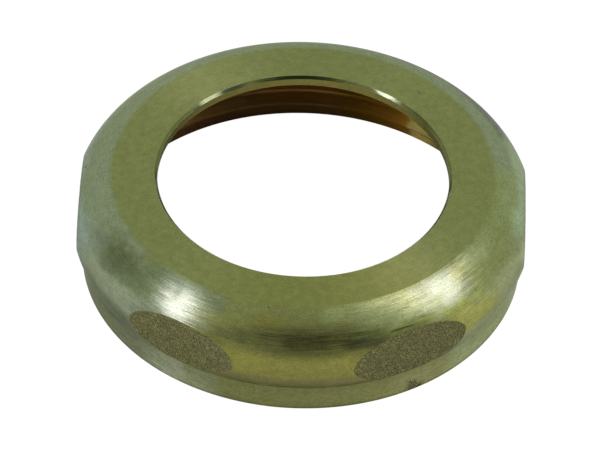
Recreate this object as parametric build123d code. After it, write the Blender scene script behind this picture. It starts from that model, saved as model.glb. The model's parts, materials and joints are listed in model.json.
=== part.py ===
# Slip joint nut: one brass casting, turned all over except for its six wrench flats.
# The tube passes through the thin lip at the top, and the threaded mouth is at the bottom.
# Z = 0 is the plane of the mouth, +Z runs along the bore towards the lip. Millimetres.
from build123d import *
from math import sqrt
import os

# Hole for the tube, and the lip that holds the washer down
bore_d = 33.0
bore_chamfer = 0.3
lip_thickness = 1.2

# Threaded socket: its wall is at the root of the thread, and the crests stand inwards from it
thread_root_d = 48.1
socket_depth = 11.2
mouth_chamfer = 0.2

# Cone that narrows the socket wall to the flat washer seat under the lip
cone_height = 2.1
cone_run = 2.05
seat_corner_r = 0.5

# Turned outside: walls are measured from the thread root, and the barrel is widest above its step
skirt_wall = 1.15
skirt_height = 3.45
skirt_edge_break = 0.15
barrel_wall = 2.35
barrel_drop = 3.25
face_d = 43.34

# Cast hexagon, which the turned barrel stands proud of at the corners
flat_wall = 1.35
flat_count = 6

height = socket_depth + lip_thickness
root_r = thread_root_d / 2
skirt_r = root_r + skirt_wall
flat_r = root_r + flat_wall
barrel_r = root_r + barrel_wall
barrel_z = skirt_height + barrel_drop


def barrel_section_arc():
    """Arc of the bulged barrel: upright at its widest point, and ending at the top face's edge."""
    rise, run = height - barrel_z, barrel_r - face_d / 2
    arc_r = (rise**2 + run**2) / (2 * run)
    step_r = barrel_r - arc_r + sqrt(arc_r**2 - barrel_drop**2)
    return ThreePointArc((face_d / 2, height), (barrel_r, barrel_z), (step_r, skirt_height))


def outside():
    """Half section of the turned outside, as a closed face on the XZ plane."""
    with BuildSketch(Plane.XZ) as section:
        with BuildLine():
            arc = barrel_section_arc()
            Polyline(
                arc @ 1,
                (skirt_r, skirt_height),
                (skirt_r, skirt_edge_break),
                (skirt_r - skirt_edge_break, 0),
                (0, 0),
                (0, height),
                arc @ 0,
            )
        make_face()
    return section.sketch


def inside():
    """Half section of the hollow: mouth, socket wall, cone, washer seat and bore."""
    seat_r, bore_r = root_r - cone_run, bore_d / 2
    with BuildSketch(Plane.XZ) as section:
        with BuildLine():
            Polyline(
                (0, 0),
                (root_r + mouth_chamfer, 0),
                (root_r, mouth_chamfer),
                (root_r, socket_depth - cone_height),
                (seat_r, socket_depth),
                (bore_r, socket_depth),
                (bore_r, height - bore_chamfer),
                (bore_r + bore_chamfer, height),
                (0, height),
                close=True,
            )
        make_face()
        seat_corner = section.vertices().sort_by_distance((seat_r, 0, socket_depth))[0]
        fillet(seat_corner, seat_corner_r)
    return section.sketch


def nut():
    """Turned blank, cut back to the cast hexagon where the barrel stands proud of its flats."""
    blank = revolve(outside(), Axis.Z)
    hexagon = RegularPolygon(flat_r, flat_count, major_radius=False, rotation=30)
    blank &= extrude(hexagon, height)
    return blank - revolve(inside(), Axis.Z)


os.makedirs("parts", exist_ok=True)
export_step(nut(), "parts/slip_nut.step")
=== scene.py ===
# Slip joint nut: one brass casting, turned outside and in, with rough cast wrench flats.
# Metres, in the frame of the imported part: Z = 0 is the mouth that it stands on, +Z runs up the bore.
import bpy, json
from math import sin, cos, tan, pi, radians, atan2, sqrt
from mathutils import Matrix, Vector


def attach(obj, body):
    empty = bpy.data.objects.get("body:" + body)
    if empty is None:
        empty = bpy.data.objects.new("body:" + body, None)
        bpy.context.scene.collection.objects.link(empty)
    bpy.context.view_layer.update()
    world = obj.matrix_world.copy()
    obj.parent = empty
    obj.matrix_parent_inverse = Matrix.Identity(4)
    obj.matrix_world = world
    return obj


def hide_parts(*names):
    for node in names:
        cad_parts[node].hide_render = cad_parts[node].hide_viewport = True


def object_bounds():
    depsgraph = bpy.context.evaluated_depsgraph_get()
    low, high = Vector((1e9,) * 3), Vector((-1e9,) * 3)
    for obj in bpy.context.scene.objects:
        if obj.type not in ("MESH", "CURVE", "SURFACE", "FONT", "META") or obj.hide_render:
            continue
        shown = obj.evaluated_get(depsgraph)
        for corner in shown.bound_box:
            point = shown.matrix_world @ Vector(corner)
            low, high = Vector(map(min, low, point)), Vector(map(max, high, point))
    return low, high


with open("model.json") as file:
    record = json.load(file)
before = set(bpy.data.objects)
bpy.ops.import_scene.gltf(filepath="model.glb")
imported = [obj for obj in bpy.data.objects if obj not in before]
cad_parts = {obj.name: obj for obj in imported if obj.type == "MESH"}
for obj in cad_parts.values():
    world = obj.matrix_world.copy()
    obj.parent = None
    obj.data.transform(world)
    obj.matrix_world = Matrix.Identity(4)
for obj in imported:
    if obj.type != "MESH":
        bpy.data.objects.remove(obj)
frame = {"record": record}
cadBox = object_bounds()
mm = 0.001
black, white = (0, 0, 0, 1), (1, 1, 1, 1)
noiseLow, noiseMiddle, noiseHigh = 0.3, 0.5, 0.7   # most values of a noise lie between the outer two
quarterTurn = 0.25                  # of the anisotropy, which draws highlights out across the turning marks
print("frame loaded")


# Node helpers

def put(tree, kind, inputs=None, **settings):   # one node, with sockets linked or set
    made = tree.nodes.new(kind)
    for name, value in settings.items():
        setattr(made, name, value)
    for key, value in (inputs or {}).items():
        if isinstance(value, bpy.types.NodeSocket):
            tree.links.new(value, made.inputs[key])
        else:
            made.inputs[key].default_value = value
    return made


def sums(tree, operation, a, b=0.0, c=0.0):   # one Math node
    return put(tree, "ShaderNodeMath", {0: a, 1: b, 2: c}, operation=operation).outputs[0]


def plus(tree, a, b):
    return sums(tree, "ADD", a, b)


def minus(tree, a, b):
    return sums(tree, "SUBTRACT", a, b)


def times(tree, a, b):
    return sums(tree, "MULTIPLY", a, b)


def over(tree, a, b):
    return sums(tree, "DIVIDE", a, b)


def vectorOf(tree, x=0.0, y=0.0, z=0.0):
    return put(tree, "ShaderNodeCombineXYZ", {0: x, 1: y, 2: z}).outputs[0]


def partsOf(tree, vector):   # its X, Y and Z
    return put(tree, "ShaderNodeSeparateXYZ", {0: vector}).outputs


def scaled(tree, vector, factor):   # a vector or a colour, times a number
    return put(tree, "ShaderNodeVectorMath", {0: vector, "Scale": factor}, operation="SCALE").outputs[0]


def normalized(tree, vector):
    return put(tree, "ShaderNodeVectorMath", {0: vector}, operation="NORMALIZE").outputs[0]


def mapped(tree, value, low, high, toLow=0.0, toHigh=1.0, **settings):   # low becomes toLow, high toHigh
    return put(tree, "ShaderNodeMapRange", {"Value": value, "From Min": low, "From Max": high,
                                            "To Min": toLow, "To Max": toHigh}, **settings).outputs["Result"]


def fromAxis(tree, place):   # distance from the nut's axis
    return sums(tree, "SQRT", sums(tree, "MULTIPLY_ADD", place["X"], place["X"],
                                   times(tree, place["Y"], place["Y"])))


def newTree(name, kind, inputs, outputs):   # node group with named sockets, each (name, type, default)
    tree = bpy.data.node_groups.new(name, kind)
    for socketName, socketType, default in inputs:
        socket = tree.interface.new_socket(socketName, in_out="INPUT", socket_type="NodeSocket" + socketType)
        if default is not None:
            socket.default_value = default
    for socketName, socketType in outputs:
        tree.interface.new_socket(socketName, in_out="OUTPUT", socket_type="NodeSocket" + socketType)
    return tree, tree.nodes.new("NodeGroupInput").outputs, tree.nodes.new("NodeGroupOutput").inputs


# Sizes of the nut

mounts = {mount["name"]: mount for mount in frame["record"]["mounts"]}
holeWider = 0.08 * mm               # the hole in the photo is this much wider in radius than the tube's bore
boreRadius = mounts["tube_bore"]["dims"]["r_mm"] * mm + holeWider
socketRadius = mounts["socket_thread"]["dims"]["r_mm"] * mm
nutHeight = cadBox[1].z
flatDistance = cadBox[1].x          # one pair of flats faces +X and -X
barrelRadius = cadBox[1].y          # and two corners of the hexagon lie along Y

sectionValues = {
    "barrelZ": 6.7 * mm,            # height of the widest place
    "faceRadius": 21.67 * mm,
    "skirtRadius": 25.2 * mm,
    "skirtHeight": 3.45 * mm,
    "skirtBreak": 0.04 * mm,
    "mouthChamfer": 0.2 * mm,
    "lipThickness": 1.2 * mm,
    "boreChamfer": 0.3 * mm,
    "coneHeight": 2.1 * mm,
    "seatRadius": 22.0 * mm,
    "seatCorner": 0.5 * mm,
    "barrelSteps": 44,
    "cornerSteps": 8,
}
skirtTop = sectionValues["skirtHeight"]
widestHeight = sectionValues["barrelZ"]
faceEdge = sectionValues["faceRadius"]


def arcPoints(centre, radius, fromAngle, toAngle, steps):
    angles = [fromAngle + (toAngle - fromAngle) * i / steps for i in range(steps + 1)]
    return [(centre[0] + radius * cos(a), centre[1] + radius * sin(a)) for a in angles]


def nutSection(values):   # half section as (radius, height), over the shoulder and back up the socket
    rise, run = nutHeight - values["barrelZ"], barrelRadius - values["faceRadius"]
    bulge = (rise * rise + run * run) / (2 * run)
    bulgeCentre = (barrelRadius - bulge, values["barrelZ"])
    faceAngle = atan2(rise, values["faceRadius"] - bulgeCentre[0])
    drop = values["skirtHeight"] - values["barrelZ"]
    stepAngle = atan2(drop, sqrt(bulge * bulge - drop * drop))
    seatZ = nutHeight - values["lipThickness"]
    coneAngle = atan2(values["coneHeight"], values["seatRadius"] - socketRadius)
    cornerReach = values["seatCorner"] * tan((pi - coneAngle) / 2)
    cornerCentre = (values["seatRadius"] - cornerReach, seatZ - values["seatCorner"])
    outside = [(boreRadius, nutHeight - values["boreChamfer"]),
               (boreRadius + values["boreChamfer"], nutHeight)]
    outside += arcPoints(bulgeCentre, bulge, faceAngle, stepAngle, values["barrelSteps"])
    outside += [(values["skirtRadius"], values["skirtHeight"]),
                (values["skirtRadius"], values["skirtBreak"]),
                (values["skirtRadius"] - values["skirtBreak"], 0)]
    inside = [(socketRadius + values["mouthChamfer"], 0), (socketRadius, values["mouthChamfer"]),
              (socketRadius, seatZ - values["coneHeight"])]
    inside += arcPoints(cornerCentre, values["seatCorner"], coneAngle - pi / 2, pi / 2,
                        values["cornerSteps"])
    return outside + inside + [(boreRadius, seatZ)]


# The nut's tree: a turned ring with its thread, less the cast flats

nutValues = {
    "Turning Radius": 20 * mm,       # the section is drawn about this radius
    "Turning Steps": 480,
    "Socket Radius": socketRadius,
    "Seat Height": nutHeight - sectionValues["lipThickness"],
    "Dark Past Wall": 0.15 * mm,     # how far the socket's finish reaches beyond its wall
    "Dark Below Seat": 0.01 * mm,    # and how far below the seat it starts
    "Flat Count": 6,
    "Flat Distance": flatDistance,
    "Cutter Width": 15.2 * mm,       # of the block that cuts a flat
    "Cutter Height": 7.2 * mm,
    "Cutter Bottom": 3.0 * mm,
    "Cutter Depth": 2.0 * mm,
    "Proud Flat": 4,                 # counted from 0 at +X: the flat that the casting left a little proud
    "Proud By": 0.15 * mm,
    "Next Proud By": 0.07 * mm,      # and the flat after it
    "Cast Step": 0.115 * mm,         # spacing of the points on a cast flat
    "Grain Size": 0.34 * mm,
    "Grain Height": 0.06 * mm,
    "Swell Size": 2.6 * mm,          # of the slow unevenness under the grain
    "Swell Height": 0.02 * mm,
    "Roughness": 0.6,                # of both noises
    "Seed": 4.0,
    "Thread Pitch": 2.209 * mm,      # 11.5 turns to the inch
    "Thread Turns": 3.3,
    "Thread Depth": 1.2 * mm,
    "Thread Root Width": 1.7 * mm,
    "Thread Crest Width": 0.22 * mm,
    "Thread Start": 1.65 * mm,
    "Thread Turned By": -81.0,       # degrees from +X to where the thread starts
    "Thread Runs Out": 0.06,         # share of its length that fades at each end
    "Thread End Size": 0.02,         # what is left of it at the very end
    "Thread Steps": 200,
    "Sunk In": 0.03 * mm,            # how far the thread's foot stands in the wall
    "Crisp Angle": 7.0,              # degrees from which an edge is shaded sharp
}
turnedMark, castMark, threadedMark = 0, 1, 2
surfaceMarks = {"Turned": turnedMark, "Cast": castMark, "Threaded": threadedMark}


def stored(tree, geometry, name, value, kind, domain):   # keeps a value on the mesh under a name
    return put(tree, "GeometryNodeStoreNamedAttribute", {
        "Geometry": geometry, "Name": name, "Value": value}, data_type=kind, domain=domain).outputs[0]


def storedValue(tree, name, kind):
    return put(tree, "GeometryNodeInputNamedAttribute", {"Name": name}, data_type=kind).outputs[0]


def compared(tree, operation, a, b):   # whole numbers
    return put(tree, "FunctionNodeCompare", {2: a, 3: b}, data_type="INT", operation=operation).outputs[0]


def moved(tree, geometry, **changes):   # by its Translation and Rotation
    return put(tree, "GeometryNodeTransform", {"Geometry": geometry, **changes}).outputs[0]


def markSurface(tree, given, geometry, mark):   # says which finish the faces get once the parts are joined
    plain = put(tree, "GeometryNodeSetMaterial",
                {"Geometry": geometry, "Material": given["Turned"]}).outputs[0]
    return stored(tree, plain, "surfaceMark", mark, "INT", "FACE")


def ringPart(tree, given):
    section = put(tree, "GeometryNodeMeshToCurve", {"Mesh": given["Geometry"]}).outputs[0]
    circle = put(tree, "GeometryNodeCurvePrimitiveCircle",
                 {"Resolution": given["Turning Steps"], "Radius": given["Turning Radius"]}).outputs[0]
    ring = put(tree, "GeometryNodeCurveToMesh", {"Curve": circle, "Profile Curve": section}).outputs[0]
    place = partsOf(tree, put(tree, "GeometryNodeInputPosition").outputs[0])
    reach = plus(tree, given["Socket Radius"], given["Dark Past Wall"])
    within = sums(tree, "LESS_THAN", fromAxis(tree, place), reach)
    below = sums(tree, "LESS_THAN", place["Z"], minus(tree, given["Seat Height"], given["Dark Below Seat"]))
    inSocket = times(tree, times(tree, within, below), threadedMark)
    return markSurface(tree, given, ring, inSocket)


def threadRidge(tree, given):
    footRadius = plus(tree, given["Socket Radius"], given["Sunk In"])
    helix = put(tree, "GeometryNodeCurveSpiral", {
        "Resolution": given["Thread Steps"], "Rotations": given["Thread Turns"],
        "Start Radius": footRadius, "End Radius": footRadius,
        "Height": times(tree, given["Thread Pitch"], given["Thread Turns"]), "Reverse": True}).outputs[0]
    upright = put(tree, "GeometryNodeSetCurveNormal", {"Curve": helix}, mode="Z_UP").outputs[0]
    tall = plus(tree, given["Thread Depth"], given["Sunk In"])
    form = put(tree, "GeometryNodeCurvePrimitiveQuadrilateral", {
        "Height": tall, "Bottom Width": given["Thread Root Width"],
        "Top Width": given["Thread Crest Width"], "Offset": 0.0}, mode="TRAPEZOID").outputs[0]
    onFoot = moved(tree, form, Translation=vectorOf(tree, 0.0, times(tree, tall, 0.5)))
    sideways = moved(tree, onFoot, Rotation=(0, 0, pi / 2))
    along = put(tree, "GeometryNodeSplineParameter").outputs["Factor"]
    nearEnd = sums(tree, "MINIMUM", along, minus(tree, 1.0, along))
    fading = sums(tree, "MINIMUM", over(tree, nearEnd, given["Thread Runs Out"]), 1.0)
    ridge = put(tree, "GeometryNodeCurveToMesh", {
        "Curve": upright, "Profile Curve": sideways, "Fill Caps": True,
        "Scale": sums(tree, "MAXIMUM", fading, given["Thread End Size"])}).outputs[0]
    turn = vectorOf(tree, 0.0, 0.0, sums(tree, "RADIANS", given["Thread Turned By"]))
    raised = vectorOf(tree, 0.0, 0.0, given["Thread Start"])
    return markSurface(tree, given, moved(tree, ridge, Translation=raised, Rotation=turn), threadedMark)


def flatPlaces(tree, given):   # a point for each flat, and the turn that faces its block outwards
    index = put(tree, "GeometryNodeInputIndex").outputs[0]
    angle = times(tree, index, over(tree, 2 * pi, given["Flat Count"]))
    isProud = compared(tree, "EQUAL", index, given["Proud Flat"])
    isNext = compared(tree, "EQUAL", index, plus(tree, given["Proud Flat"], 1.0))
    proudBy = sums(tree, "MULTIPLY_ADD", isNext, given["Next Proud By"],
                   times(tree, isProud, given["Proud By"]))
    outwards = vectorOf(tree, times(tree, sums(tree, "COSINE", angle), proudBy),
                        times(tree, sums(tree, "SINE", angle), proudBy))
    points = put(tree, "GeometryNodePoints", {"Count": given["Flat Count"]}).outputs[0]
    spaced = put(tree, "GeometryNodeSetPosition", {"Geometry": points, "Offset": outwards}).outputs[0]
    turn = put(tree, "FunctionNodeAxisAngleToRotation", {"Axis": (0, 0, 1), "Angle": angle}).outputs[0]
    return spaced, turn


def castBlock(tree, given):   # what cuts the flat that faces +X, with its inner face marked
    def steps(length):
        return sums(tree, "ROUND", over(tree, given[length], given["Cast Step"]))
    block = put(tree, "GeometryNodeMeshCube", {
        "Size": vectorOf(tree, given["Cutter Depth"], given["Cutter Width"], given["Cutter Height"]),
        "Vertices X": 2, "Vertices Y": steps("Cutter Width"),
        "Vertices Z": steps("Cutter Height")}).outputs[0]
    place = partsOf(tree, put(tree, "GeometryNodeInputPosition").outputs[0])
    facing = sums(tree, "LESS_THAN", place["X"], 0.0)
    marked = stored(tree, block, "innerFace", facing, "FLOAT", "POINT")
    outTo = sums(tree, "MULTIPLY_ADD", given["Cutter Depth"], 0.5, given["Flat Distance"])
    upTo = sums(tree, "MULTIPLY_ADD", given["Cutter Height"], 0.5, given["Cutter Bottom"])
    return moved(tree, marked, Translation=vectorOf(tree, outTo, 0.0, upTo))


def castCutters(tree, given):   # one block a flat, its inner face rough as sand leaves it
    def grain(size, height, detail):
        noise = put(tree, "ShaderNodeTexNoise", {
            "W": given["Seed"], "Scale": over(tree, 1.0, given[size]), "Detail": detail,
            "Roughness": given["Roughness"]}, noise_dimensions="4D").outputs[0]
        return times(tree, noise, given[height])
    points, turn = flatPlaces(tree, given)
    around = put(tree, "GeometryNodeInstanceOnPoints",
                 {"Points": points, "Instance": castBlock(tree, given), "Rotation": turn}).outputs[0]
    cutters = put(tree, "GeometryNodeRealizeInstances", {"Geometry": around}).outputs[0]
    relief = plus(tree, grain("Grain Size", "Grain Height", 3.0), grain("Swell Size", "Swell Height", 1.0))
    onInnerFace = times(tree, relief, storedValue(tree, "innerFace", "FLOAT"))
    inwards = scaled(tree, put(tree, "GeometryNodeInputNormal").outputs[0], onInnerFace)
    rough = put(tree, "GeometryNodeSetPosition", {"Geometry": cutters, "Offset": inwards}).outputs[0]
    return markSurface(tree, given, rough, castMark)


def crispEdges(tree, given, cut):   # the flats' outlines and every bend, but nothing within a cast flat
    angle = put(tree, "GeometryNodeInputMeshEdgeAngle").outputs["Unsigned Angle"]
    bent = sums(tree, "GREATER_THAN", angle, sums(tree, "RADIANS", given["Crisp Angle"]))
    onCast = compared(tree, "EQUAL", storedValue(tree, "surfaceMark", "INT"), castMark)
    return sums(tree, "MAXIMUM", cut["Intersecting Edges"], minus(tree, bent, onCast))


def nutTree():
    inputs = [("Geometry", "Geometry", None)]
    for name, value in nutValues.items():
        inputs.append((name, "Int" if isinstance(value, int) else "Float", value))
    inputs += [(name, "Material", None) for name in surfaceMarks]
    tree, given, out = newTree("turnedNut", "GeometryNodeTree", inputs, [("Geometry", "Geometry")])
    threaded = put(tree, "GeometryNodeMeshBoolean", {"Mesh 2": ringPart(tree, given)},
                   operation="UNION", solver="EXACT")
    tree.links.new(threadRidge(tree, given), threaded.inputs["Mesh 2"])
    cut = put(tree, "GeometryNodeMeshBoolean",
              {"Mesh 1": threaded.outputs["Mesh"], "Mesh 2": castCutters(tree, given)},
              operation="DIFFERENCE", solver="EXACT").outputs
    smooth = put(tree, "GeometryNodeSetShadeSmooth", {"Geometry": cut["Mesh"]}).outputs[0]
    shaded = put(tree, "GeometryNodeSetShadeSmooth", {
        "Geometry": smooth, "Selection": crispEdges(tree, given, cut), "Shade Smooth": False},
        domain="EDGE").outputs[0]
    last = put(tree, "GeometryNodeRealizeInstances", {"Geometry": shaded}).outputs[0]
    for name, number in surfaceMarks.items():
        chosen = compared(tree, "GREATER_EQUAL", storedValue(tree, "surfaceMark", "INT"), number)
        last = put(tree, "GeometryNodeSetMaterial", {"Geometry": last, "Selection": chosen,
                                                     "Material": given[name]}).outputs[0]
    tree.links.new(last, out[0])
    return tree


# Node groups that the finishes share

def objectCoords(tree):
    return put(tree, "ShaderNodeTexCoord").outputs["Object"]


def roundTangent(tree, place):   # the direction of the turning marks
    return normalized(tree, vectorOf(tree, times(tree, place["Y"], -1.0), place["X"]))


def noiseOf(tree, coords, scale, detail, **more):
    return put(tree, "ShaderNodeTexNoise", {"Vector": coords, "Scale": scale, "Detail": detail,
                                            **more}).outputs[0]


def turningGroup():   # fine circular marks of the lathe and the polishing, round the nut's axis
    tree, given, out = newTree("turningMarks", "ShaderNodeTree", [
        ("Line Width", "Float", 0.15 * mm), ("Line Length", "Float", 3 * mm),
        ("Depth", "Float", 0.002 * mm), ("Sway", "Float", 0.03)],
        [("Lines", "Float"), ("Normal", "Vector")])
    place = partsOf(tree, objectCoords(tree))
    radius = fromAxis(tree, place)

    def marksOf(width, seed):   # noise drawn out along the circles
        turns = over(tree, barrelRadius, given["Line Length"])
        around = [times(tree, over(tree, place[axis], radius), turns) for axis in "XY"]
        across = plus(tree, over(tree, radius, width), seed)
        return put(tree, "ShaderNodeTexNoise", {
            "Vector": vectorOf(tree, *around, across), "W": over(tree, place["Z"], width), "Scale": 1.0,
            "Detail": 2.0, "Roughness": 0.6}, noise_dimensions="4D").outputs[0]
    lines = marksOf(given["Line Width"], 0.0)
    otherLines = marksOf(times(tree, given["Line Width"], 0.95), 50.0)   # so that the two don't run together
    sway = times(tree, minus(tree, otherLines, noiseMiddle), given["Sway"])
    swayed = put(tree, "ShaderNodeVectorMath", {
        0: roundTangent(tree, place), 1: vectorOf(tree, sway, sway, sway),
        2: put(tree, "ShaderNodeNewGeometry").outputs["Normal"]}, operation="MULTIPLY_ADD").outputs[0]
    bump = put(tree, "ShaderNodeBump", {"Height": times(tree, lines, given["Depth"]), "Distance": 1.0,
                                        "Strength": 1.0, "Normal": normalized(tree, swayed)}).outputs[0]
    tree.links.new(lines, out["Lines"])
    tree.links.new(bump, out["Normal"])
    return tree


def stainAndPaintedLightGroup():   # a patch with uneven edges, between two azimuths and two heights; it serves for changes of the metal's own tint and also for painted reflections, highlights and shade
    tree, given, out = newTree("stainAndPaintedLight", "ShaderNodeTree", [
        ("Azimuth", "Float", 270.0), ("Half Angle", "Float", 20.0), ("Soft Sides", "Float", 0.5),
        ("Low", "Float", 4 * mm), ("Fade Low", "Float", mm),
        ("High", "Float", 12 * mm), ("Fade High", "Float", mm),
        ("Bow", "Float", 0.0), ("Unevenness", "Float", 0.3), ("Grain", "Float", 3 * mm)],
        [("Mask", "Float")])
    coords = objectCoords(tree)
    place = partsOf(tree, coords)
    azimuth = sums(tree, "DEGREES", sums(tree, "ARCTAN2", place["Y"], place["X"]))
    away = sums(tree, "WRAP", minus(tree, azimuth, given["Azimuth"]), 180.0, -180.0)
    share = over(tree, sums(tree, "ABSOLUTE", away), given["Half Angle"])
    noise = noiseOf(tree, coords, over(tree, 1.0, given["Grain"]), 3.0)
    shift = times(tree, minus(tree, noise, noiseMiddle), given["Unevenness"])
    tall = minus(tree, given["High"], given["Low"])
    bowed = times(tree, times(tree, share, share), given["Bow"])
    height = minus(tree, sums(tree, "MULTIPLY_ADD", tall, shift, place["Z"]), bowed)

    def fade(value, none, full):
        return mapped(tree, value, none, full, interpolation_type="SMOOTHSTEP")
    sides = fade(plus(tree, share, shift), 1.0, minus(tree, 1.0, given["Soft Sides"]))
    bottom = fade(height, given["Low"], plus(tree, given["Low"], given["Fade Low"]))
    top = fade(height, given["High"], minus(tree, given["High"], given["Fade High"]))
    tree.links.new(times(tree, sides, times(tree, bottom, top)), out["Mask"])
    return tree


def spotGroup():   # a small dark spot with a ragged edge
    tree, given, out = newTree("spot", "ShaderNodeTree", [
        ("Centre", "Vector", (0, 0, 0)), ("Radius", "Float", 0.2 * mm), ("Grain", "Float", 0.2 * mm),
        ("Raggedness", "Float", 1.0)], [("Mask", "Float")])
    coords = objectCoords(tree)
    away = put(tree, "ShaderNodeVectorMath", {0: coords, 1: given["Centre"]},
               operation="DISTANCE").outputs["Value"]
    noise = noiseOf(tree, coords, over(tree, 1.0, given["Grain"]), 1.0)
    ragged = sums(tree, "MULTIPLY_ADD", minus(tree, noise, noiseMiddle), given["Raggedness"],
                  over(tree, away, given["Radius"]))
    tree.links.new(mapped(tree, ragged, 1.0, 0.6), out["Mask"])   # full within 0.6 of the radius
    return tree


turningMarks = turningGroup()
stainAndPaintedLight = stainAndPaintedLightGroup()
spot = spotGroup()


def newMaterial(name, **fixed):   # fixed: the shader's sockets, with _ for a space
    material = bpy.data.materials.new(name)
    material.use_nodes = True
    tree = material.node_tree
    shader = tree.nodes["Principled BSDF"]
    for socket, value in fixed.items():
        shader.inputs[socket.replace("_", " ")].default_value = value
    return material, tree, shader


def ramp(tree, factor, stops):   # colours over a factor, each stop (place, colour)
    made = put(tree, "ShaderNodeValToRGB", {"Fac": factor})
    elements = made.color_ramp.elements
    while len(elements) < len(stops):
        elements.new(0.5)
    for element, (place, colour) in zip(elements, stops):
        element.position = place
        element.color = (*colour, 1)
    return made.outputs["Color"]


def mixed(tree, factor, a, b):   # colours a and b
    return put(tree, "ShaderNodeMix", {0: factor, 6: a, 7: b}, data_type="RGBA").outputs[2]


def between(tree, factor, a, b):   # numbers a and b
    return put(tree, "ShaderNodeMix", {0: factor, 2: a, 3: b}).outputs[0]


def darkened(tree, colour, mask, amount):   # by that share of black where the mask is full
    return mixed(tree, times(tree, mask, amount), colour, black)


def spreadBy(tree, value, spread):   # a noise value as a factor of 1 less or more the spread
    return mapped(tree, value, noiseLow, noiseHigh, 1 - spread, 1 + spread)


def marksOn(tree, look):   # the group of turning marks, with the values of one finish
    marks = put(tree, "ShaderNodeGroup", node_tree=turningMarks)
    sockets = {"Line Width": "lineWidth", "Line Length": "lineLength", "Depth": "lineDepth", "Sway": "sway"}
    for socket, name in sockets.items():
        marks.inputs[socket].default_value = look[name]
    return marks.outputs


# lays patches over a colour: changes of the metal's own tint, and painted reflections, highlights and shade
def withStainsAndPaintedLight(tree, colour, patchTable):
    for *sides, low, fadeLow, high, fadeHigh, bow, unevenness, grain, patchColour in patchTable.values():
        lengths = [length * mm for length in (low, fadeLow, high, fadeHigh, bow)]
        mask = put(tree, "ShaderNodeGroup", node_tree=stainAndPaintedLight)
        for socket, value in zip(mask.inputs, [*sides, *lengths, unevenness, grain * mm]):
            socket.default_value = value
        colour = mixed(tree, mask.outputs["Mask"], colour, (*patchColour, 1))
    return colour


def spotted(tree, colour, spots):
    for azimuth, away, height, radius, raggedness, dark in spots.values():
        mask = put(tree, "ShaderNodeGroup", node_tree=spot)
        turn = radians(azimuth)
        mask.inputs["Centre"].default_value = (away * cos(turn), away * sin(turn), height)
        mask.inputs["Radius"].default_value = radius
        mask.inputs["Raggedness"].default_value = raggedness
        colour = darkened(tree, colour, mask.outputs["Mask"], dark)
    return colour


# Turned brass

turnedBrass = {
    "boreWall": (0.205, 0.204, 0.048),
    "chamfer": (0.112, 0.128, 0.044),
    "face": (0.169, 0.192, 0.066),
    "shoulder": (0.194, 0.234, 0.134),
    "skirt": (0.223, 0.249, 0.134),
    # painted light on the skirt: darker towards the top under the barrel, lighter at the foot as a painted
    # reflection of the floor
    "skirtTopTone": 0.85,
    "skirtFootTone": 1.30,
    "footToneUpTo": 0.4 * mm,       # height from which the tone goes over to that of the top
    "edgeTint": (0.75, 0.80, 0.65),
    "skirtBlend": 0.1 * mm,         # height over which the skirt's colour becomes the shoulder's
    "faceBlendIn": 0.1 * mm,        # the face's does so from this far within its edge
    "faceBlendOut": 0.5 * mm,       # to this far past it
    "chamferBlendFrom": 0.26 * mm,  # the chamfer's becomes the face's between these, from the bore wall
    "chamferBlendTo": 0.32 * mm,
    "wallBlend": 0.05 * mm,         # and the bore wall's becomes the chamfer's over this
    "spread": 0.08,                 # of the colour, from one turning mark to the next
    "speckle": 0.21,
    "speckleSize": 0.15 * mm,
    "blotch": 0.07,
    "blotchSize": 0.9 * mm,
    "anisotropy": 0.85,
    "roughness": 0.30,
    "roughnessSpread": 0.16,
    "faceSpread": 0.4,              # how much of both spreads the face keeps
    "faceSpeckle": 0.6,             # and of the speckle
    "chamferRoughness": 0.16,
    "lineWidth": 0.11 * mm,
    "lineLength": 2.8 * mm,
    "lineDepth": 0.0010 * mm,
    "sway": 0.165,
    "lowDark": 0.04,                # painted shade: how dark the barrel gets below its widest place
    "lowFrom": 1.0 * mm,            # that starts this far above the widest place
    "lowFull": 1.2 * mm,            # and is full this far above the skirt
    "lineDark": 0.65,               # painted shade in the step under the barrel: how dark the line is where the barrel meets the skirt
    "lineUp": 0.03 * mm,            # its middle lies this far above the skirt
    "lineEnd": 0.11 * mm,           # distances from its middle where it ends, and where it is full
    "lineFull": 0.05 * mm,
    "footDark": 0.25,               # painted contact shadow: how dark the foot's last edge is
    "footEnd": 0.42 * mm,           # heights where it ends, and where it is full
    "footFull": 0.2 * mm,
    "flatEdgeDark": 0.26,           # painted shade: how dark the shoulder is along the upper edge of a flat
    "flatEdgeWidth": 0.38 * mm,
    "flatEdgeFrom": 7.5 * mm,       # heights where it starts, and where it is full
    "flatEdgeFull": 9.0 * mm,
}
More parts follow.
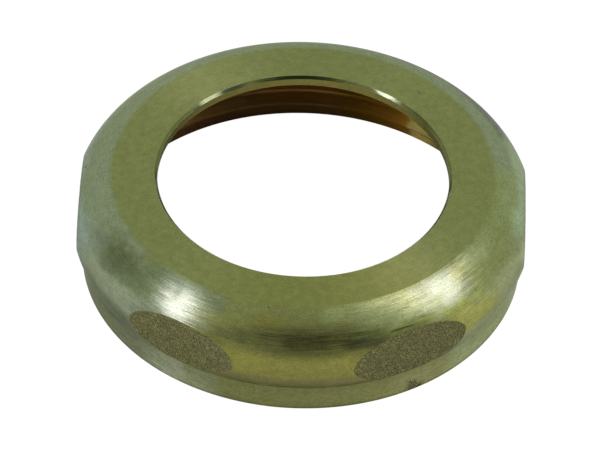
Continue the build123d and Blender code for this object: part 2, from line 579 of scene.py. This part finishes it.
# azimuth, half angle, soft sides; low, its fade, high, its fade, bow (mm); unevenness, grain (mm), colour
# patches of the metal's own tint, and many of painted light: reflections, highlights and shade put into the
# colour
turnedStainsAndPaintedLight = {
    # painted reflection: the olive tint that the right side takes from what it mirrors
    "oliveSide": (337, 22, 0.35, 4.5, 3.0, 14.5, 3.0, 0, 0.4, 4, (0.190, 0.218, 0.080)),
    # painted reflection of the floor that the right lamp lights
    "paleSide": (334, 24, 0.4, 2.9, 1.5, 10.3, 1.5, 0, 0.4, 2, (0.278, 0.326, 0.152)),
    "paleLeft": (212, 26, 0.6, 6.6, 1.0, 10.1, 0.9, 0, 0.4, 2, (0.248, 0.300, 0.170)),
    "greyLeft": (208, 22, 0.4, 3.5, 0.4, 7.2, 1.6, 0, 0.4, 2, (0.150, 0.184, 0.097)),
    "greyShoulder": (217, 16, 0.7, 9.4, 0.9, 12.8, 1.3, 0, 0.6, 2, (0.152, 0.182, 0.091)),
    # painted dark reflection on the left shoulder, where the world also has a dark spot
    "darkReflectionLeft": (214, 8, 0.9, 9.5, 1.3, 12.3, 1.3, 0, 1.3, 1, (0.122, 0.148, 0.068)),
    "darkReflectionLeftTop": (204, 6, 0.9, 9.6, 1.0, 11.9, 0.9, 0, 0.9, 1, (0.158, 0.186, 0.116)),
    "darkReflectionLeftLow": (212.5, 4.5, 0.8, 8.9, 0.6, 10.6, 0.6, 0, 0.8, 1, (0.138, 0.168, 0.086)),
    "greyRim": (47, 31, 0.4, 10.3, 0.3, 11.85, 0.7, 0, 0.4, 2, (0.104, 0.126, 0.103)),
    "oliveFront": (267, 25, 0.35, 9.8, 0.8, 13.5, 0.8, 0, 0.3, 3, (0.164, 0.181, 0.062)),
    # painted dark reflection: the band where the front mirrors the dark round the camera
    "darkFront": (272, 34, 0.5, 8.8, 0.8, 12.0, 0.8, 0, 0.3, 2, (0.172, 0.180, 0.056)),
    "lightFront": (264.5, 4, 0.8, 9.5, 0.4, 11.2, 0.5, 0, 0.3, 1, (0.225, 0.225, 0.082)),
    # painted shade: a dark streak beside the end of the left flat
    "darkStreak": (253, 7, 0.7, 9.3, 0.4, 11.0, 0.7, 0, 0.3, 1, (0.120, 0.132, 0.046)),
    # painted highlight colour: tints the fan of the right highlight
    "oliveFan": (296, 14, 0.6, 9.4, 0.8, 13.5, 0.8, 0, 0.4, 2, (0.198, 0.232, 0.093)),
    # painted shade under the right highlight's fan, above the right flat
    "darkFan": (298, 13, 0.5, 9.3, 0.6, 11.0, 0.7, 0, 0.4, 1, (0.146, 0.168, 0.048)),
    "oliveUnder": (314, 9, 0.7, 8.7, 0.5, 10.7, 0.7, 0, 0.4, 1, (0.198, 0.228, 0.060)),
    # painted highlight: widens the right highlight's right flank
    "paleTop": (329, 9, 0.6, 11.2, 0.8, 13.5, 0.8, 0, 0.4, 2, (0.245, 0.282, 0.125)),
    # painted reflection of the floor on the right limb
    "paleLimb": (363, 24, 0.4, 3.0, 1.0, 9.5, 1.6, 0, 0.2, 3, (0.420, 0.520, 0.348)),
    "oliveLimb": (357, 13, 0.7, 10.2, 0.8, 13.5, 0.8, 0, 0.3, 2, (0.204, 0.248, 0.107)),
    "greyLimb": (363, 23, 0.5, 8.2, 1.2, 11.6, 0.9, 0, 0.3, 3, (0.275, 0.355, 0.202)),
    "leftLimb": (178, 30, 0.4, 3.0, 1.0, 11.2, 1.6, 0, 0.3, 3, (0.232, 0.308, 0.226)),
    # painted reflection of the white floor in front: the bright band with a crisp upper edge
    "yellowFront": (267, 30, 0.42, 3.5, 0.1, 9.42, 0.10, 0.75, 0.03, 3, (0.240, 0.248, 0.056)),
    "shadeFront": (272, 30, 0.3, 8.1, 1.1, 9.40, 0.04, 0.65, 0.05, 3, (0.172, 0.178, 0.050)),
    # painted reflection of the shaded floor just under the nut
    "brownFront": (270, 34, 0.4, 3.0, 0.4, 5.9, 0.5, 0, 0.12, 2, (0.222, 0.222, 0.072)),
    "darkRight": (288, 8, 0.6, 9.0, 0.5, 10.6, 0.7, 0, 0.3, 2, (0.085, 0.090, 0.034)),
    "yellowSide": (318.5, 14, 0.7, 5.2, 2.0, 10.0, 1.6, 0, 0.5, 2, (0.300, 0.320, 0.080)),
    "oliveSkirt": (272, 44, 0.25, -1.0, 0.2, 3.6, 0.1, 0, 0.4, 3, (0.220, 0.243, 0.078)),
    # painted highlight: the left lamp's highlight carried down onto the skirt
    "paleFoot": (235, 10, 0.7, -1.0, 0.2, 3.6, 0.1, 0, 0.5, 2, (0.290, 0.335, 0.180)),
    # painted reflection of the floor that the right lamp lights
    "paleSkirt": (331, 34, 0.4, -1.0, 0.2, 3.6, 0.1, 0, 0.4, 3, (0.318, 0.382, 0.180)),
    "yellowSkirt": (305, 13, 0.6, -1.0, 0.2, 3.6, 0.1, 0, 0.5, 2, (0.262, 0.282, 0.105)),
    "coolSide": (341, 12, 0.6, 4.2, 1.2, 8.0, 1.2, 0, 0.3, 2, (0.262, 0.314, 0.168)),
    "goldFront": (262.5, 6, 0.8, 10.9, 0.5, 12.3, 0.6, 0, 0.5, 1.5, (0.178, 0.178, 0.046)),
    "oliveRim": (346, 20, 0.5, 11.9, 0.4, 13.5, 0.4, 0, 0.3, 2, (0.192, 0.224, 0.086)),
    "shadeSkirt": (207, 15, 0.5, 2.2, 0.6, 3.6, 0.1, 0, 0.3, 2, (0.178, 0.200, 0.108)),
    # painted shade and highlight that shape the left highlight: dimmed beside it, brighter at its top,
    # trimmed at its end
    "dimLeft": (226.5, 5.5, 0.8, 9.8, 0.7, 13.5, 0.5, 0, 0.5, 1.5, (0.138, 0.172, 0.083)),
    "glowLeft": (238.2, 3.5, 0.9, 11.4, 0.4, 12.5, 0.4, 0, 0.3, 1, (0.234, 0.282, 0.165)),
    "endLeft": (246, 6, 0.8, 11.0, 0.6, 13.5, 0.5, 0, 0.4, 1, (0.137, 0.168, 0.078)),
    # a darker streak down the middle of the left highlight
    "streakInLeftHighlight": (235.8, 1.8, 1.0, 10.9, 0.5, 12.1, 0.4, 0, 0.6, 1, (0.150, 0.176, 0.100)),
    "rimLeft": (223, 5, 0.8, 11.9, 0.3, 13.5, 0.3, 0, 0.3, 2, (0.148, 0.174, 0.068)),
    # painted shade and highlight that break up the right highlight and trim its flank
    "dimFan": (307, 4, 0.9, 11.5, 0.4, 12.5, 0.3, 0, 0.3, 1, (0.150, 0.176, 0.090)),
    "lightFan": (301, 4.5, 0.9, 10.9, 0.5, 11.9, 0.4, 0, 0.3, 1, (0.262, 0.300, 0.132)),
    "dimSide": (319.5, 4, 0.9, 10.5, 0.6, 11.7, 0.5, 0, 0.4, 1, (0.150, 0.180, 0.095)),
    "warmRight": (309, 4, 0.8, 10.3, 0.5, 11.8, 0.5, 0, 0.3, 1, (0.158, 0.192, 0.086)),
    "underFan": (289, 7, 0.7, 10.2, 0.4, 11.1, 0.5, 0, 0.3, 1, (0.115, 0.135, 0.040)),
    "paleFront": (280.5, 5.5, 0.7, 11.5, 0.4, 12.55, 0.4, 0, 0.3, 1, (0.205, 0.241, 0.089)),
    "oliveEnd": (322, 5, 0.8, 8.6, 0.5, 10.4, 0.6, 0, 0.3, 1, (0.245, 0.285, 0.092)),
    # painted highlight: the end of the left highlight's trace on the skirt
    "paleFootEnd": (246, 6, 0.8, -1.0, 0.2, 3.6, 0.1, 0, 0.4, 2, (0.245, 0.285, 0.130)),
    # painted shade: the dark line under the raised edge above the right flat
    "burrShadeLine": (297.5, 4, 0.5, 10.17, 0.08, 10.37, 0.08, -0.1, 0.3, 0.5, (0.045, 0.048, 0.02)),
}
# painted light on the bore's edge: the near side of chamfer and bore wall lightened, the chamfer's glints
# shaped and brightened
holePaintedLight = {
    "nearEdge": (270, 86, 0.08, 12.05, 0.05, 13, 0.1, 0, 0.1, 3, (0.80, 0.83, 0.58)),
    "leftGlint": (133, 11, 0.6, 12.05, 0.05, 13, 0.1, 0, 0.1, 3, (0.100, 0.123, 0.059)),
    "leftGlintStart": (138.4, 4, 0.8, 12.05, 0.05, 13, 0.1, 0, 0.1, 3, (0.060, 0.073, 0.035)),
    "leftGlintEnd": (122, 8.5, 0.6, 12.05, 0.05, 13, 0.1, 0, 0.1, 3, (0.046, 0.058, 0.026)),
    "rightGlint": (56, 8, 0.5, 12.05, 0.05, 13, 0.1, 0, 0.1, 3, (0.122, 0.152, 0.080)),
    "rightGlintEnd": (51.5, 3, 0.8, 12.05, 0.05, 13, 0.1, 0, 0.1, 3, (0.185, 0.225, 0.115)),
}
faceStains = {
    "oliveFront": (275, 50, 0.7, 12, 0.1, 13, 0.1, 0, 0.4, 3, (0.172, 0.188, 0.054)),
}
turnedSpots = {   # azimuth, distance from the axis, height, radius, raggedness, how dark
    "shoulderDot": (175.8, 24.96 * mm, 10.53 * mm, 0.20 * mm, 0.6, 0.7),
    "sideDotA": (321.6, 25.20 * mm, 10.22 * mm, 0.13 * mm, 0.6, 0.5),
    "sideDotB": (323.5, 25.60 * mm, 9.66 * mm, 0.13 * mm, 0.6, 0.6),
    "faceSpeck": (262.0, 22.13 * mm, 12.29 * mm, 0.13 * mm, 0.3, 0.7),
    "faceNick": (48.2, 19.52 * mm, 12.4 * mm, 0.17 * mm, 0.8, 0.4),
    "faceNickEnd": (49.2, 19.6 * mm, 12.4 * mm, 0.15 * mm, 0.8, 0.4),
    "skirtDirt": (301.3, 25.2 * mm, 0.7 * mm, 0.80 * mm, 3.2, 0.6),
    "skirtDirtTail": (303.3, 25.2 * mm, 0.3 * mm, 0.55 * mm, 3.2, 0.6),
}


def outsideColour(tree, look, onBarrel, offFace):   # skirt, shoulder and face with their patches of own tint and of painted light
    outside = mixed(tree, onBarrel, (*look["skirt"], 1), (*look["shoulder"], 1))
    face = withStainsAndPaintedLight(tree, (*look["face"], 1), faceStains)
    return mixed(tree, offFace, face, withStainsAndPaintedLight(tree, outside, turnedStainsAndPaintedLight))


def holeColour(tree, look, radius):   # bore wall and chamfer, with painted light at the near edge and on the glints
    offWall = mapped(tree, radius, boreRadius, boreRadius + look["wallBlend"])
    return withStainsAndPaintedLight(tree, mixed(tree, offWall, (*look["boreWall"], 1), (*look["chamfer"], 1)), holePaintedLight)


def edgesDarkened(tree, look, colour, place, radius, onBarrel):   # painted shade at the barrel's foot, on the line above the skirt, at the nut's foot and along the flats' upper edges
    low = mapped(tree, place["Z"], widestHeight + look["lowFrom"], skirtTop + look["lowFull"])
    colour = darkened(tree, colour, times(tree, onBarrel, low), look["lowDark"])
    fromLine = sums(tree, "ABSOLUTE", minus(tree, place["Z"], skirtTop + look["lineUp"]))
    onLine = mapped(tree, fromLine, look["lineEnd"], look["lineFull"])
    colour = darkened(tree, colour, onLine, look["lineDark"])
    onFoot = mapped(tree, place["Z"], look["footEnd"], look["footFull"])
    colour = darkened(tree, colour, onFoot, look["footDark"])
    turn = sums(tree, "ARCTAN2", place["Y"], place["X"])
    halfFlat = pi / nutValues["Flat Count"]
    offMiddle = sums(tree, "WRAP", turn, halfFlat, -halfFlat)
    outwards = times(tree, radius, sums(tree, "COSINE", offMiddle))   # square to the nearest flat
    byFlat = times(tree, mapped(tree, outwards, flatDistance - look["flatEdgeWidth"], flatDistance),
                   mapped(tree, place["Z"], look["flatEdgeFrom"], look["flatEdgeFull"]))
    return darkened(tree, colour, byFlat, look["flatEdgeDark"])


def turnedTone(tree, look, place, onBarrel, variations):   # what the colour is multiplied by, with the skirt's painted light
    skirtTone = mapped(tree, place["Z"], look["footToneUpTo"], skirtTop,
                       look["skirtFootTone"], look["skirtTopTone"])
    tone = between(tree, onBarrel, skirtTone, 1.0)
    for value, spread in variations:
        tone = times(tree, tone, spreadBy(tree, value, spread))
    return tone


def turnedMaterial(look):
    material, tree, shader = newMaterial("turnedBrass", Metallic=1.0, Anisotropic=look["anisotropy"],
                                         Anisotropic_Rotation=quarterTurn,
                                         Specular_Tint=(*look["edgeTint"], 1))
    marks = marksOn(tree, look)
    coords = objectCoords(tree)
    place = partsOf(tree, coords)
    radius = fromAxis(tree, place)
    onBarrel = mapped(tree, place["Z"], skirtTop, skirtTop + look["skirtBlend"])
    offFace = mapped(tree, radius, faceEdge - look["faceBlendIn"], faceEdge + look["faceBlendOut"])
    offChamfer = mapped(tree, radius, boreRadius + look["chamferBlendFrom"],
                        boreRadius + look["chamferBlendTo"])
    outside = outsideColour(tree, look, onBarrel, offFace)
    colour = mixed(tree, offChamfer, holeColour(tree, look, radius), outside)
    colour = spotted(tree, edgesDarkened(tree, look, colour, place, radius, onBarrel), turnedSpots)

    def calmer(value, name):   # less of it on the face
        kept = mapped(tree, offFace, 0.0, 1.0, look[name], 1.0)
        return sums(tree, "MULTIPLY_ADD", minus(tree, value, noiseMiddle), kept, noiseMiddle)
    lines = calmer(marks["Lines"], "faceSpread")
    specks = calmer(noiseOf(tree, coords, 1 / look["speckleSize"], 1.0), "faceSpeckle")
    blotches = noiseOf(tree, coords, 1 / look["blotchSize"], 1.0)
    tone = turnedTone(tree, look, place, onBarrel, [
        (lines, look["spread"]), (specks, look["speckle"]), (blotches, look["blotch"])])
    brushed = sums(tree, "MULTIPLY_ADD", minus(tree, lines, noiseMiddle),
                   look["roughnessSpread"] / (noiseHigh - noiseLow), look["roughness"])
    tree.links.new(scaled(tree, colour, tone), shader.inputs["Base Color"])
    tree.links.new(between(tree, offChamfer, look["chamferRoughness"], brushed), shader.inputs["Roughness"])
    tree.links.new(marks["Normal"], shader.inputs["Normal"])
    tree.links.new(roundTangent(tree, place), shader.inputs["Tangent"])
    return material


# Cast brass of the flats

castBrass = {
    "tones": [                      # pits, skin and tops of the grains, each with its place in the noise
        (0.32, (0.031, 0.032, 0.002)),
        (0.50, (0.117, 0.121, 0.033)),
        (0.70, (0.310, 0.318, 0.097)),
    ],
    "grainSize": 0.18 * mm,
    "patchSize": 0.8 * mm,
    "patchSpread": 0.10,
    "noiseRoughness": 0.65,
    "patchGreen": (0.085, 0.098, 0.042),
    "greenFrom": 0.55,              # value of the patches' noise where the green starts
    "greenFull": 0.42,
    "greenShare": 0.2,
    "metallic": 0.7,
    "roughness": 0.62,
}


def castMaterial(look):
    material, tree, shader = newMaterial("castBrass", Metallic=look["metallic"], Roughness=look["roughness"])
    coords = objectCoords(tree)
    patches = noiseOf(tree, coords, 1 / look["patchSize"], 2.0, Roughness=look["noiseRoughness"])
    grains = noiseOf(tree, coords, 1 / look["grainSize"], 3.0, Roughness=look["noiseRoughness"])
    green = times(tree, mapped(tree, patches, look["greenFrom"], look["greenFull"]), look["greenShare"])
    colour = mixed(tree, green, ramp(tree, grains, look["tones"]), (*look["patchGreen"], 1))
    toned = scaled(tree, colour, spreadBy(tree, patches, look["patchSpread"]))
    tree.links.new(toned, shader.inputs["Base Color"])
    return material


# Dark brass of the threaded socket

threadedBrass = {
    "high": (0.410, 0.226, 0.051),
    "low": (0.235, 0.134, 0.040),
    "lowUpTo": 1.2 * mm,            # heights between which the low colour becomes the high one
    "highFrom": 5 * mm,
    "anisotropy": 0.9,
    "roughness": 0.45,
    "spread": 0.16,
    "lineWidth": 0.2 * mm,
    "lineLength": 6 * mm,
    "lineDepth": 0.0016 * mm,
    "sway": 0.06,
}
threadedStainsAndPaintedLight = {   # in the order of the turned brass's
    "brownLeft": (128, 34, 0.6, -1, 0.5, 12, 1, 0, 0.3, 3, (0.165, 0.092, 0.024)),
    "darkLeft": (125, 22, 0.5, -1, 0.5, 2.4, 1.4, 0, 0.3, 3, (0.11, 0.06, 0.02)),
    "redSide": (66, 20, 0.5, -1, 0.5, 12, 1, 0, 0.3, 3, (0.20, 0.105, 0.010)),
    # painted highlight: the golden patch where the left lamp lights the socket's far wall, dimmed in its
    # middle and brightest at its foot
    "golden": (47.5, 12.5, 0.14, -1, 0.5, 6.5, 1.2, 0, 0.12, 1, (0.27, 0.246, 0.048)),
    "goldDim": (54, 6, 0.5, 1.4, 0.5, 3.0, 0.5, 0, 0.1, 1, (0.200, 0.186, 0.040)),
    "goldFoot": (55.5, 5, 0.6, -1, 0.2, 1.9, 0.6, 0, 0.1, 1, (0.37, 0.33, 0.062)),
}


def threadedMaterial(look):
    material, tree, shader = newMaterial("threadedBrass", Metallic=1.0, Roughness=look["roughness"],
                                         Anisotropic=look["anisotropy"], Anisotropic_Rotation=quarterTurn)
    marks = marksOn(tree, look)
    place = partsOf(tree, objectCoords(tree))
    up = mapped(tree, place["Z"], look["lowUpTo"], look["highFrom"])
    colour = withStainsAndPaintedLight(tree, mixed(tree, up, (*look["low"], 1), (*look["high"], 1)), threadedStainsAndPaintedLight)
    toned = scaled(tree, colour, spreadBy(tree, marks["Lines"], look["spread"]))
    tree.links.new(toned, shader.inputs["Base Color"])
    tree.links.new(marks["Normal"], shader.inputs["Normal"])
    tree.links.new(roundTangent(tree, place), shader.inputs["Tangent"])
    return material


finishes = {"Turned": turnedMaterial(turnedBrass), "Cast": castMaterial(castBrass),
            "Threaded": threadedMaterial(threadedBrass)}
print("finishes made")


# The nut itself

def evaluated(piece):   # the piece's mesh with its modifiers' result, as a plain mesh
    depsgraph = bpy.context.evaluated_depsgraph_get()
    return bpy.data.meshes.new_from_object(piece.evaluated_get(depsgraph), depsgraph=depsgraph)


def sectionMesh():   # the outline lies flat, about the turning radius, for the tree to turn round
    points = nutSection(sectionValues)
    mesh = bpy.data.meshes.new("nutSection")
    mesh.from_pydata([(radius - nutValues["Turning Radius"], -height, 0) for radius, height in points],
                     [(i, (i + 1) % len(points)) for i in range(len(points))], [])
    return mesh


def makeNut():
    nut = bpy.data.objects.new("slipNut", sectionMesh())
    bpy.context.scene.collection.objects.link(nut)
    tree = nutTree()
    modifier = nut.modifiers.new("turnedNut", "NODES")
    modifier.node_group = tree
    given = {**nutValues, **finishes}
    for item in tree.interface.items_tree:
        if item.in_out == "INPUT" and item.name in given:
            modifier[item.identifier] = given[item.name]
    nut.data = evaluated(nut)
    nut.modifiers.clear()
    for name in ("surfaceMark", "innerFace"):
        nut.data.attributes.remove(nut.data.attributes[name])
    return nut


slipNut = makeNut()
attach(slipNut, "root")
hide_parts("slip_nut")
print("nut has", len(slipNut.data.vertices), "points and", [m.name for m in slipNut.data.materials])


# Floor, lights and camera

floorValues = {
    "halfWidth": 4.0,
    "colour": (0.66, 0.66, 0.66),
    "lift": 0.96,                 # share of plain white in what the camera sees
    "glow": 1.04,
}


def makeFloor(values):
    half = values["halfWidth"]
    mesh = bpy.data.meshes.new("floor")
    mesh.from_pydata([(-half, -half, 0), (half, -half, 0), (half, half, 0), (-half, half, 0)],
                     [], [(0, 1, 2, 3)])
    floor = bpy.data.objects.new("floor", mesh)
    bpy.context.scene.collection.objects.link(floor)
    material = bpy.data.materials.new("paleFloor")
    material.use_nodes = True
    tree = material.node_tree
    tree.nodes.clear()
    paint = put(tree, "ShaderNodeBsdfDiffuse", {"Color": (*values["colour"], 1)}).outputs[0]
    glow = put(tree, "ShaderNodeEmission", {"Color": white, "Strength": values["glow"]}).outputs[0]
    seen = put(tree, "ShaderNodeLightPath").outputs["Is Camera Ray"]
    both = put(tree, "ShaderNodeMixShader",
               {0: times(tree, seen, values["lift"]), 1: paint, 2: glow}).outputs[0]
    put(tree, "ShaderNodeOutputMaterial", {"Surface": both})
    mesh.materials.append(material)


def aim(azimuth, elevation):   # degrees; azimuth runs from +X towards +Y
    turn, rise = radians(azimuth), radians(elevation)
    return Vector((cos(rise) * cos(turn), cos(rise) * sin(turn), sin(rise)))


softBoxes = {
    "leftBox": {
        "azimuth": 207.4,
        "elevation": 33.0,
        "tilt": 20.0,             # turns its length from upright
        "width": 0.165,           # lies across the length
        "length": 1.25,
        "level": 6.75,
        "tint": (1.07, 0.90, 1.40),
    },
    "rightBox": {
        "azimuth": 6.0,
        "elevation": 53.3,
        "tilt": -42.0,
        "width": 0.30,
        "length": 1.1,
        "level": 4.7,
        "tint": (1.12, 0.92, 1.26),
    },
}
boxDistance = 1.0                 # from the nut's origin


def makeSoftBox(name, values):
    lamp = bpy.data.lights.new(name, "AREA")
    lamp.shape = "RECTANGLE"
    lamp.size, lamp.size_y = values["width"], values["length"]
    lamp.energy = values["level"] * pi * values["width"] * values["length"]
    lamp.color = values["tint"]
    towards = aim(values["azimuth"], values["elevation"])
    side = towards.cross(Vector((0, 0, 1))).normalized()
    tilt = radians(values["tilt"])
    along = cos(tilt) * side.cross(towards) + sin(tilt) * side
    across = along.cross(towards)
    box = bpy.data.objects.new(name, lamp)
    box.matrix_world = Matrix((across, along, towards)).transposed().to_4x4()
    box.location = towards * boxDistance
    box.visible_camera = False
    bpy.context.scene.collection.objects.link(box)


studio = {
    "level": (0.98, 1.0, 0.98),
    "darkSpots": [   # azimuth, elevation, inner and outer half-width in degrees, how dark
        (275, 34, 14, 37, 0.95),
        (171, 32, 4, 16, 0.5),
    ],
}


def makeWorld(values):   # pale all round but for the dark spots, and white to the camera
    world = bpy.data.worlds.new("studio")
    bpy.context.scene.world = world
    world.use_nodes = True
    tree = world.node_tree
    tree.nodes.clear()
    direction = put(tree, "ShaderNodeTexCoord").outputs["Generated"]
    colour = put(tree, "ShaderNodeRGB").outputs[0]
    colour.default_value = (*values["level"], 1)
    for azimuth, elevation, inner, outer, dark in values["darkSpots"]:
        nearness = put(tree, "ShaderNodeVectorMath", {0: direction, 1: aim(azimuth, elevation)},
                       operation="DOT_PRODUCT").outputs["Value"]
        shade = mapped(tree, nearness, cos(radians(outer)), cos(radians(inner)), 1.0, 1.0 - dark,
                       interpolation_type="SMOOTHSTEP")
        colour = scaled(tree, colour, shade)
    around = put(tree, "ShaderNodeBackground", {"Color": colour, "Strength": 1.0}).outputs[0]
    behind = put(tree, "ShaderNodeBackground", {"Color": white, "Strength": 1.0}).outputs[0]
    seen = put(tree, "ShaderNodeLightPath").outputs["Is Camera Ray"]
    both = put(tree, "ShaderNodeMixShader", {0: seen, 1: around, 2: behind}).outputs[0]
    put(tree, "ShaderNodeOutputWorld", {"Surface": both})


cameraValues = {
    "distance": 519.1 * mm,
    "elevation": 43.09,
    "roll": -1.5347,
    "turned": 0.892,              # about Z, from looking along +Y
    "right": -0.143 * mm,         # of the nut's origin in the picture
    "up": 3.217 * mm,
    "lens": 270.0,
    "sensorWidth": 36.0,
    "clipStart": 0.05,
    "clipEnd": 20.0,
}


def makeCamera(values):
    camera = bpy.data.cameras.new("camera")
    camera.lens, camera.sensor_width = values["lens"], values["sensorWidth"]
    camera.clip_start, camera.clip_end = values["clipStart"], values["clipEnd"]
    rise, turn = radians(values["elevation"]), Matrix.Rotation(radians(values["turned"]), 3, "Z")
    forward = Vector((0, cos(rise), -sin(rise)))
    level = Matrix((Vector((1, 0, 0)), Vector((0, sin(rise), cos(rise))), -forward)).transposed()
    axes = level @ Matrix.Rotation(radians(-values["roll"]), 3, "Z")
    place = -values["distance"] * forward + values["right"] * axes.col[0] + values["up"] * axes.col[1]
    seat = bpy.data.objects.new("camera", camera)
    seat.matrix_world = Matrix.Translation(turn @ place) @ (turn @ axes).to_4x4()
    bpy.context.scene.collection.objects.link(seat)
    bpy.context.scene.camera = seat


makeFloor(floorValues)
for name, values in softBoxes.items():
    makeSoftBox(name, values)
makeWorld(studio)
makeCamera(cameraValues)
bpy.context.scene.view_settings.view_transform = "Standard"
print("stage set")
